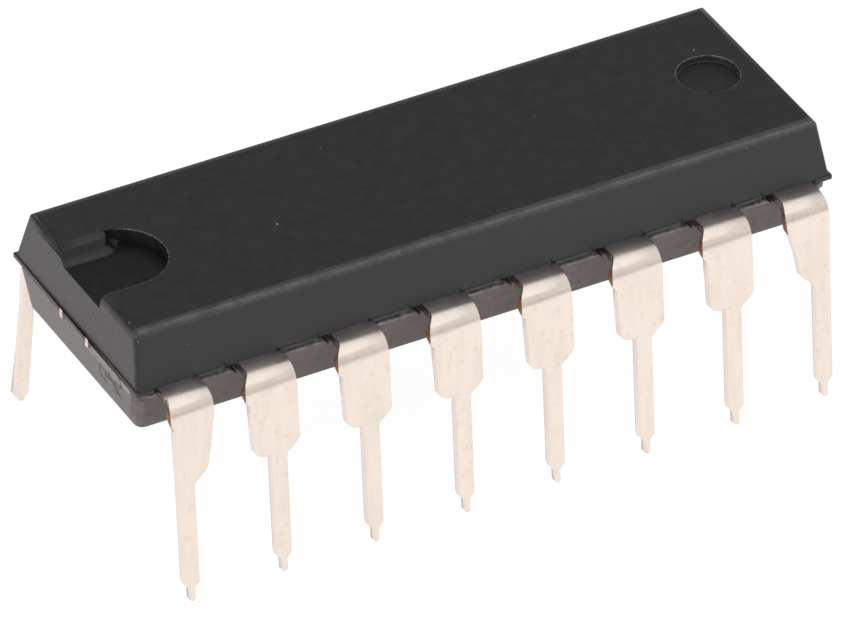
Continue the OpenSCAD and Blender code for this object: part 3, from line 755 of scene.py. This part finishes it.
def pick(piece):
    """Makes a piece the only selected and active object."""
    clear_selection()
    piece.select_set(True)
    bpy.context.view_layer.objects.active = piece


def merge_all(distance):
    """Merges the vertices of the mesh in edit mode that are closer than a distance."""
    bpy.ops.mesh.select_all(action="SELECT")
    bpy.ops.mesh.remove_doubles(threshold=distance)


def merged_copy(node, name):
    """A copy of a CAD node's mesh with its loose triangles merged and its flat faces joined."""
    piece = bpy.data.objects.new(name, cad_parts[node].data.copy())
    bpy.context.scene.collection.objects.link(piece)
    pick(piece)
    bpy.ops.object.mode_set(mode="EDIT")
    merge_all(SAME_CORNER)
    bpy.ops.mesh.dissolve_limited(angle_limit=math.radians(0.1))
    bpy.ops.object.mode_set(mode="OBJECT")
    return piece


def deselect_mesh(piece):
    """Picks a piece and deselects all of its mesh."""
    pick(piece)
    bpy.ops.object.mode_set(mode="EDIT")
    bpy.ops.mesh.select_mode(type="VERT")
    bpy.ops.mesh.select_all(action="DESELECT")
    bpy.ops.object.mode_set(mode="OBJECT")


def select_vertices(piece, vertices):
    """Selects only the given vertices of a piece."""
    deselect_mesh(piece)
    for vertex in vertices:
        piece.data.vertices[vertex].select = True


def shift(piece, vertices, move):
    """Moves the given vertices of a piece."""
    select_vertices(piece, vertices)
    bpy.ops.object.mode_set(mode="EDIT")
    bpy.ops.transform.translate(value=move)
    bpy.ops.object.mode_set(mode="OBJECT")


def nearest(piece, place):
    """The vertex of a piece that lies nearest to a place."""
    return min(piece.data.vertices, key=lambda v: (v.co - Vector(place)).length).index


def keep_highlight_faces(piece):
    """Keeps the faces of the rounded edges in a face attribute, which masks the painted highlight along the
    hollows' rims.
    """
    rounded = piece.data.attributes.new("highlight_faces", "FLOAT", "FACE")
    for face in piece.data.polygons:
        rounded.data[face.index].value = face.material_index
        face.material_index = 0


def bare_slots(piece):
    """Gives a piece two empty material slots. The faces of its rounded edges go into the second."""
    piece.data.materials.clear()
    piece.data.materials.append(None)
    piece.data.materials.append(None)


def round_edges(piece, width, angle, wanted):
    """Rounds the sharp edges whose middles pass a test."""
    deselect_mesh(piece)
    bpy.ops.object.mode_set(mode="EDIT")
    bpy.ops.mesh.select_mode(type="EDGE")
    bpy.ops.mesh.edges_select_sharp(sharpness=math.radians(angle))
    bpy.ops.object.mode_set(mode="OBJECT")
    mesh = piece.data
    for line in mesh.edges:
        ends = [mesh.vertices[v].co for v in line.vertices]
        line.select = line.select and wanted((ends[0] + ends[1]) / 2)
    bpy.ops.object.mode_set(mode="EDIT")
    bpy.ops.mesh.bevel(offset=width, segments=2, clamp_overlap=False, material=1)
    merge_all(SAME_POINT)
    bpy.ops.object.mode_set(mode="OBJECT")


def mark_flats(piece, width):
    """Marks the edges round every face that is wider than this, so that its shading stays flat."""
    deselect_mesh(piece)
    mesh = piece.data
    for face in mesh.polygons:
        corners = [mesh.vertices[v].co for v in face.vertices]
        outline = sum((a - b).length for a, b in zip(corners, corners[1:] + corners[:1]))
        face.select = 2 * face.area > width * outline
    bpy.ops.object.mode_set(mode="EDIT")
    bpy.ops.mesh.select_mode(type="FACE")
    bpy.ops.mesh.mark_sharp()
    bpy.ops.object.mode_set(mode="OBJECT")


def smooth(piece, angle, flat_width=0.0):
    """Smooth shading. Faces that are wider than the given width stay flat."""
    pick(piece)
    bpy.ops.object.shade_smooth_by_angle(angle=math.radians(angle))
    if flat_width:
        mark_flats(piece, flat_width)
    modifier = piece.modifiers.new("weighted_normal", "WEIGHTED_NORMAL")
    modifier.keep_sharp = True
    modifier.weight = 100
    modifier.thresh = SAME_AREA
    bpy.ops.object.modifier_apply(modifier=modifier.name)


def finish_piece(piece, slot, *nodes):
    """Lets a piece ride on the root, in the place of the CAD nodes it was made from, if any."""
    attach(piece, "root")
    if nodes:
        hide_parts(*nodes)


def outside_edge(place):
    """True for the edges to round: the underside's and the hollows' rims, but not over the slope's end."""
    if place.z < BODY_LOW.z + BOTTOM_REACH:
        return True
    slope_end = abs(place.x - NOTCH_PLACE[0] - 0.2 * MM) < 0.3 * MM and place.y > 1.2 * MM
    return place.z > TOP_Z - 0.02 * MM and not slope_end


def shape_notch(piece):
    """Draws the notch's slope out to its round end and lets it fade there, as on the real body."""
    middle = Vector(NOTCH_PLACE) + Vector((0, 0, TOP_Z - NOTCH_DEPTH))
    for start, end in NOTCH_MOVES:
        vertex = nearest(piece, middle + Vector(start) * MM)
        found = piece.data.vertices[vertex].co
        shift(piece, [vertex], middle + Vector(end) * MM - found)
    crest = nearest(piece, middle + CREST_END * MM)
    rim = nearest(piece, middle + RIM_CORNER * MM)
    select_vertices(piece, (crest, rim))
    bpy.ops.object.mode_set(mode="EDIT")
    bpy.ops.mesh.vert_connect()
    merge_all(SAME_POINT)
    bpy.ops.object.mode_set(mode="OBJECT")
    for width, inside in (
        (SLOPE_ROUND, on_slope_end), (SLOPE_ROUND, on_slope_foot), (CREST_ROUND, on_slope_crest),
    ):
        deselect_mesh(piece)
        mesh = piece.data
        for line in mesh.edges:
            line.select = all(inside((mesh.vertices[v].co - middle) / MM) for v in line.vertices)
        bpy.ops.object.mode_set(mode="EDIT")
        bpy.ops.mesh.select_mode(type="EDGE")
        bpy.ops.mesh.bevel(offset=width, segments=5, clamp_overlap=True)
        bpy.ops.object.mode_set(mode="OBJECT")


def on_slope_end(place):
    """True on the fold where the notch's slope turns into the round wall."""
    return abs(place.x - CREST_END.x) < 0.02 and 0.7 < place.y < 1.0


def on_slope_foot(place):
    """True along the foot of the notch's slope and of its end."""
    return abs(place.z) < 0.01 and place.y > 0.6 and -1.2 < place.x < 0.4


def on_slope_crest(place):
    """True along the top of the notch's slope."""
    return abs(place.z - CREST_END.z) < 0.01 and abs(place.y - CREST_END.y) < 0.03


class CHIP_OT_body(bpy.types.Operator):
    """Rounds the moulded body's edges and gives it its resin"""

    bl_idname = "chip.body"
    bl_label = "Moulded body"

    def execute(self, context):
        settings = context.scene.chip_body
        piece = merged_copy("body", "moulded_body")
        bare_slots(piece)
        shape_notch(piece)
        lower = [v.index for v in piece.data.vertices if v.co.z < BODY_LOW.z + BOTTOM_REACH]
        shift(piece, lower, (0, 0, -BOTTOM_SAG))
        round_edges(piece, settings.edge_round, angle=30, wanted=outside_edge)
        smooth(piece, angle=40, flat_width=FLAT_WIDTH)
        keep_highlight_faces(piece)
        give_material(piece, resin_material(settings))
        finish_piece(piece, "resin", "body")
        return {"FINISHED"}


def dust_grain(material):
    """One rough flat grain, a millimetre long, at the origin."""
    clear_selection()
    bpy.ops.mesh.primitive_ico_sphere_add(subdivisions=2, radius=0.5 * MM)
    grain = bpy.context.object
    bpy.ops.object.mode_set(mode="EDIT")
    bpy.ops.transform.vertex_random(offset=0.12 * MM, seed=4)
    bpy.ops.transform.resize(value=(1.0, 0.5, 0.35))
    bpy.ops.object.mode_set(mode="OBJECT")
    give_material(grain, material)
    return grain


class CHIP_OT_dust(bpy.types.Operator):
    """Scatters grains of resin dust over the body"""

    bl_idname = "chip.dust"
    bl_label = "Dust"

    def execute(self, context):
        first = dust_grain(dust_material())
        for number, (place, length) in enumerate(DUST, 1):
            grain = first.copy()
            grain.data = first.data.copy()
            grain.name = f"dust_grain_{number}"
            # Each grain is turned 2.4 radians on, and its middle lies a little under the surface
            turned = Matrix.Rotation(2.4 * number, 4, "Z") @ Matrix.Scale(length, 4)
            middle = Vector(place) * MM - Vector((0, 0, 0.1 * length * MM))
            grain.data.transform(Matrix.Translation(middle) @ turned)
            context.scene.collection.objects.link(grain)
            finish_piece(grain, "resin")
        bpy.data.objects.remove(first)
        return {"FINISHED"}


def grow_strip(outline):
    """One lead of the front row, grown from its root along the flat, round the bend and down to its tip."""
    clear_selection()
    middle_z = FLAT_Z - LEAD_THICKNESS / 2
    bpy.ops.mesh.primitive_plane_add(size=LEAD_THICKNESS, rotation=(math.pi / 2, 0, 0),
                                     location=(0, -ROOT_Y, middle_z))
    piece = bpy.context.object
    bpy.ops.object.transform_apply()
    turned = 0.0
    for row, (place, *reaches) in enumerate(outline):
        if row:
            bpy.ops.object.mode_set(mode="EDIT")
            bpy.ops.mesh.extrude_region_move()
            if place == 0:
                bpy.ops.transform.translate(value=(0, ROOT_Y - BEND_Y, 0))
            elif place == "bent" or place < 0:
                turn = BEND_TURN if place == "bent" else math.radians(-place)
                bpy.ops.transform.rotate(value=turned - turn, orient_axis="X", orient_type="GLOBAL",
                                         center_override=(0, -BEND_Y, BEND_Z))
                turned = turn
            else:
                drop = place * MM - lowest_selected(piece)
                bpy.ops.transform.translate(value=(0, drop * math.tan(SPLAY), drop))
            bpy.ops.object.mode_set(mode="OBJECT")
        spread_row(piece, reaches)
    deselect_mesh(piece)
    bpy.ops.object.mode_set(mode="EDIT")
    bpy.ops.mesh.select_all(action="SELECT")
    bpy.ops.mesh.normals_make_consistent(inside=False)
    bpy.ops.object.mode_set(mode="OBJECT")
    return piece


def lowest_selected(piece):
    """Height of the lowest selected vertex, read in edit mode."""
    bpy.ops.object.mode_set(mode="OBJECT")
    lowest = min(v.co.z for v in piece.data.vertices if v.select)
    bpy.ops.object.mode_set(mode="EDIT")
    return lowest


def spread_row(piece, reaches):
    """Moves the four newest corners of a strip sideways to their reaches."""
    mesh = piece.data
    newest = [v.index for v in mesh.vertices][-4:]

    def depth(vertex):
        place = mesh.vertices[vertex].co
        return math.hypot(place.y + BEND_Y, place.z - BEND_Z)

    by_side = sorted(newest, key=lambda v: mesh.vertices[v].co.x)
    inner_left, outer_left = sorted(by_side[:2], key=depth)
    for vertex, reach in zip((outer_left, inner_left, *by_side[2:]), (*reaches, reaches[2])):
        shift(piece, [vertex], (reach * MM - mesh.vertices[vertex].co.x, 0, 0))
    select_vertices(piece, newest)
    bpy.ops.object.mode_set(mode="EDIT")
    bpy.ops.mesh.select_mode(type="FACE")
    bpy.ops.object.mode_set(mode="OBJECT")


def finger_of(node, row):
    """The part of a lead inside the body, cut off from a copy of its CAD mesh."""
    finger = merged_copy(node, node + "_finger")
    bpy.ops.object.mode_set(mode="EDIT")
    bpy.ops.mesh.select_all(action="SELECT")
    bpy.ops.mesh.bisect(plane_co=(0, row * (ROOT_Y + FINGER_LAP), 0), plane_no=(0, row, 0),
                        clear_outer=True, use_fill=True)
    bpy.ops.object.mode_set(mode="OBJECT")
    return finger


class CHIP_OT_leads(bpy.types.Operator):
    """Forms the sixteen leads with their rolled edges and gives them their tin plate"""

    bl_idname = "chip.leads"
    bl_label = "Leads"

    def execute(self, context):
        settings = context.scene.chip_leads
        material = tin_material(settings)
        shapes = {}
        outlines = {1: CORNER_LEAD, 2: MIDDLE_LEAD, ROW_COUNT: STUBBED_LEAD, LEAD_COUNT: WORN_LEAD}
        for number, outline in outlines.items():
            shape = grow_strip(outline)
            bare_slots(shape)
            round_edges(shape, settings.edge_roll, angle=40, wanted=lambda place: place.y < -SIDE_Y)
            shape.data.materials.clear()
            shapes[number] = shape
        for number in range(1, LEAD_COUNT + 1):
            node = f"lead_{number}"
            place = (number - 1) % ROW_COUNT
            row = -1 if number <= ROW_COUNT else 1
            corner = place in (0, ROW_COUNT - 1)
            shape = shapes.get(number, shapes[1 if corner else 2])
            piece = shape.copy()
            piece.data = shape.data.copy()
            piece.name = f"plated_lead_{number}"
            context.scene.collection.objects.link(piece)
            if place == ROW_COUNT - 1:
                piece.data.transform(Matrix.Scale(-1, 4, (1, 0, 0)))
                piece.data.flip_normals()
            across = Matrix.Translation(((place - (ROW_COUNT - 1) / 2) * LEAD_PITCH, 0, 0))
            half_turn = Matrix.Rotation(math.pi if row > 0 else 0.0, 4, "Z")
            piece.data.transform(half_turn @ across)
            finger = finger_of(node, row)
            pick(piece)
            finger.select_set(True)
            bpy.ops.object.join()
            smooth(piece, angle=35)
            give_material(piece, material)
            finish_piece(piece, "tin", node)
        for shape in shapes.values():
            bpy.data.objects.remove(shape)
        return {"FINISHED"}


class CHIP_OT_inside(bpy.types.Operator):
    """Gives the pad, the adhesive, the die and the wires their finishes"""

    bl_idname = "chip.inside"
    bl_label = "Inner pieces"

    def execute(self, context):
        give_material(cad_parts["die_pad"], strip_material())
        give_material(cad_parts["die_attach"], adhesive_material())
        give_material(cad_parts["die"], silicon_material())
        gold = gold_material()
        for number in range(1, LEAD_COUNT + 1):
            give_material(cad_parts[f"bond_wire_{number}"], gold)
        return {"FINISHED"}


def area_light(name, power, size, place, aim):
    """A square light at a place, aimed at another."""
    lamp = bpy.data.lights.new(name, "AREA")
    lamp.energy = power
    lamp.size = size
    lamp.shape = "SQUARE"
    holder = bpy.data.objects.new(name, lamp)
    holder.location = place
    holder.rotation_euler = (Vector(aim) - Vector(place)).to_track_quat("-Z", "Y").to_euler()
    bpy.context.scene.collection.objects.link(holder)


def seen_rays(tree):
    """1 for the rays that see the background: camera, glossy and transmission rays."""
    path = tree.add("ShaderNodeLightPath")
    glossy = tree.math("MAXIMUM", path.outputs["Is Camera Ray"], path.outputs["Is Glossy Ray"])
    return tree.math("MAXIMUM", glossy, path.outputs["Is Transmission Ray"])


def floor_material(settings):
    """A pale floor that shows white and keeps a faint soft shadow."""
    material, tree, shader, _ = new_material("pale_floor")
    seen = seen_rays(tree)
    shown = tree.ramp(seen, 0.0, 1.0, settings.floor, 0.25 * settings.floor)
    grey = tree.add("ShaderNodeCombineColor", {"Red": shown, "Green": shown, "Blue": shown})
    tree.put(shader, "Base Color", grey)
    tree.put(shader, "Roughness", 0.9)
    tree.put(shader, "Specular IOR Level", 0.0)
    tree.put(shader, "Emission Color", (1, 1, 1, 1))
    tree.put(shader, "Emission Strength", tree.times(seen, 0.93))
    return material


def make_world(settings):
    """A studio sky: a wide soft light overhead and in front, darker behind it, and white to the camera."""
    world = bpy.data.worlds.new("studio")
    world.use_nodes = True
    tree = Tree(world.node_tree)
    tree.tree.nodes.clear()
    out = tree.add("ShaderNodeOutputWorld")
    way = tree.split(tree.add("ShaderNodeTexCoord").outputs["Generated"])
    upright = tree.add("ShaderNodeCombineXYZ", {"Y": way.outputs["Y"], "Z": way.outputs["Z"]})
    reach = tree.add("ShaderNodeVectorMath", {0: upright}, operation="LENGTH").outputs["Value"]
    backward = tree.math("DIVIDE", way.outputs["Y"], tree.math("MAXIMUM", reach, 0.01))
    behind = tree.ramp(way.outputs["Z"], 0.36, 0.2, settings.sky_back, settings.sky_behind)
    above = tree.ramp(backward, 0.66, 0.5, behind, settings.sky_top)
    sky = tree.ramp(backward, -0.86, -0.97, above, settings.sky_low)
    camera = tree.add("ShaderNodeLightPath").outputs["Is Camera Ray"]
    background = tree.add("ShaderNodeBackground", {
        "Color": (1, 1, 1, 1), "Strength": tree.math("MAXIMUM", sky, camera),
    })
    tree.tree.links.new(background.outputs[0], out.inputs["Surface"])
    bpy.context.scene.world = world


def make_camera(settings):
    """The photo's camera."""
    camera = bpy.data.cameras.new("camera")
    camera.lens = settings.camera_lens
    camera.sensor_width = 36.0
    camera.sensor_fit = "HORIZONTAL"
    camera.clip_start = 0.01
    camera.clip_end = 10.0
    holder = bpy.data.objects.new("camera", camera)
    holder.location = settings.camera_place
    holder.rotation_euler = settings.camera_turn
    bpy.context.scene.collection.objects.link(holder)
    bpy.context.scene.camera = holder


class CHIP_OT_stage(bpy.types.Operator):
    """Sets up the floor, the lights and the camera"""

    bl_idname = "chip.stage"
    bl_label = "Stage"

    def execute(self, context):
        settings = context.scene.chip_stage
        clear_selection()
        bpy.ops.mesh.primitive_plane_add(size=3.0)
        floor = context.object
        floor.name = "floor"
        give_material(floor, floor_material(settings))
        make_world(settings)
        area_light("overhead", settings.overhead, size=0.25, place=(0, -0.02, 0.2), aim=(0, 0, 0))
        make_camera(settings)
        context.scene.view_settings.view_transform = "Standard"
        return {"FINISHED"}


class CHIP_PT_panel(bpy.types.Panel):
    """Lists the chip's settings and its steps"""

    bl_idname = "CHIP_PT_panel"
    bl_label = "Chip"
    bl_space_type = "VIEW_3D"
    bl_region_type = "UI"
    bl_category = "Chip"

    def draw(self, context):
        layout = self.layout
        for group in (context.scene.chip_body, context.scene.chip_leads, context.scene.chip_stage):
            box = layout.box()
            for name in group.__annotations__:
                box.prop(group, name)
        for step in STEPS:
            layout.operator(step.bl_idname)


STEPS = (CHIP_OT_stage, CHIP_OT_body, CHIP_OT_dust, CHIP_OT_leads, CHIP_OT_inside)
GROUPS = (("chip_body", BodySettings), ("chip_leads", LeadSettings), ("chip_stage", StageSettings))


def register():
    for name, group in GROUPS:
        bpy.utils.register_class(group)
        setattr(bpy.types.Scene, name, bpy.props.PointerProperty(type=group))
    for step in STEPS:
        bpy.utils.register_class(step)
    bpy.utils.register_class(CHIP_PT_panel)


def unregister():
    bpy.utils.unregister_class(CHIP_PT_panel)
    for step in reversed(STEPS):
        bpy.utils.unregister_class(step)
    for name, group in reversed(GROUPS):
        delattr(bpy.types.Scene, name)
        bpy.utils.unregister_class(group)


def main():
    register()
    bpy.ops.chip.stage()
    bpy.ops.chip.body()
    bpy.ops.chip.dust()
    bpy.ops.chip.leads()
    bpy.ops.chip.inside()


if __name__ == "__main__":
    main()
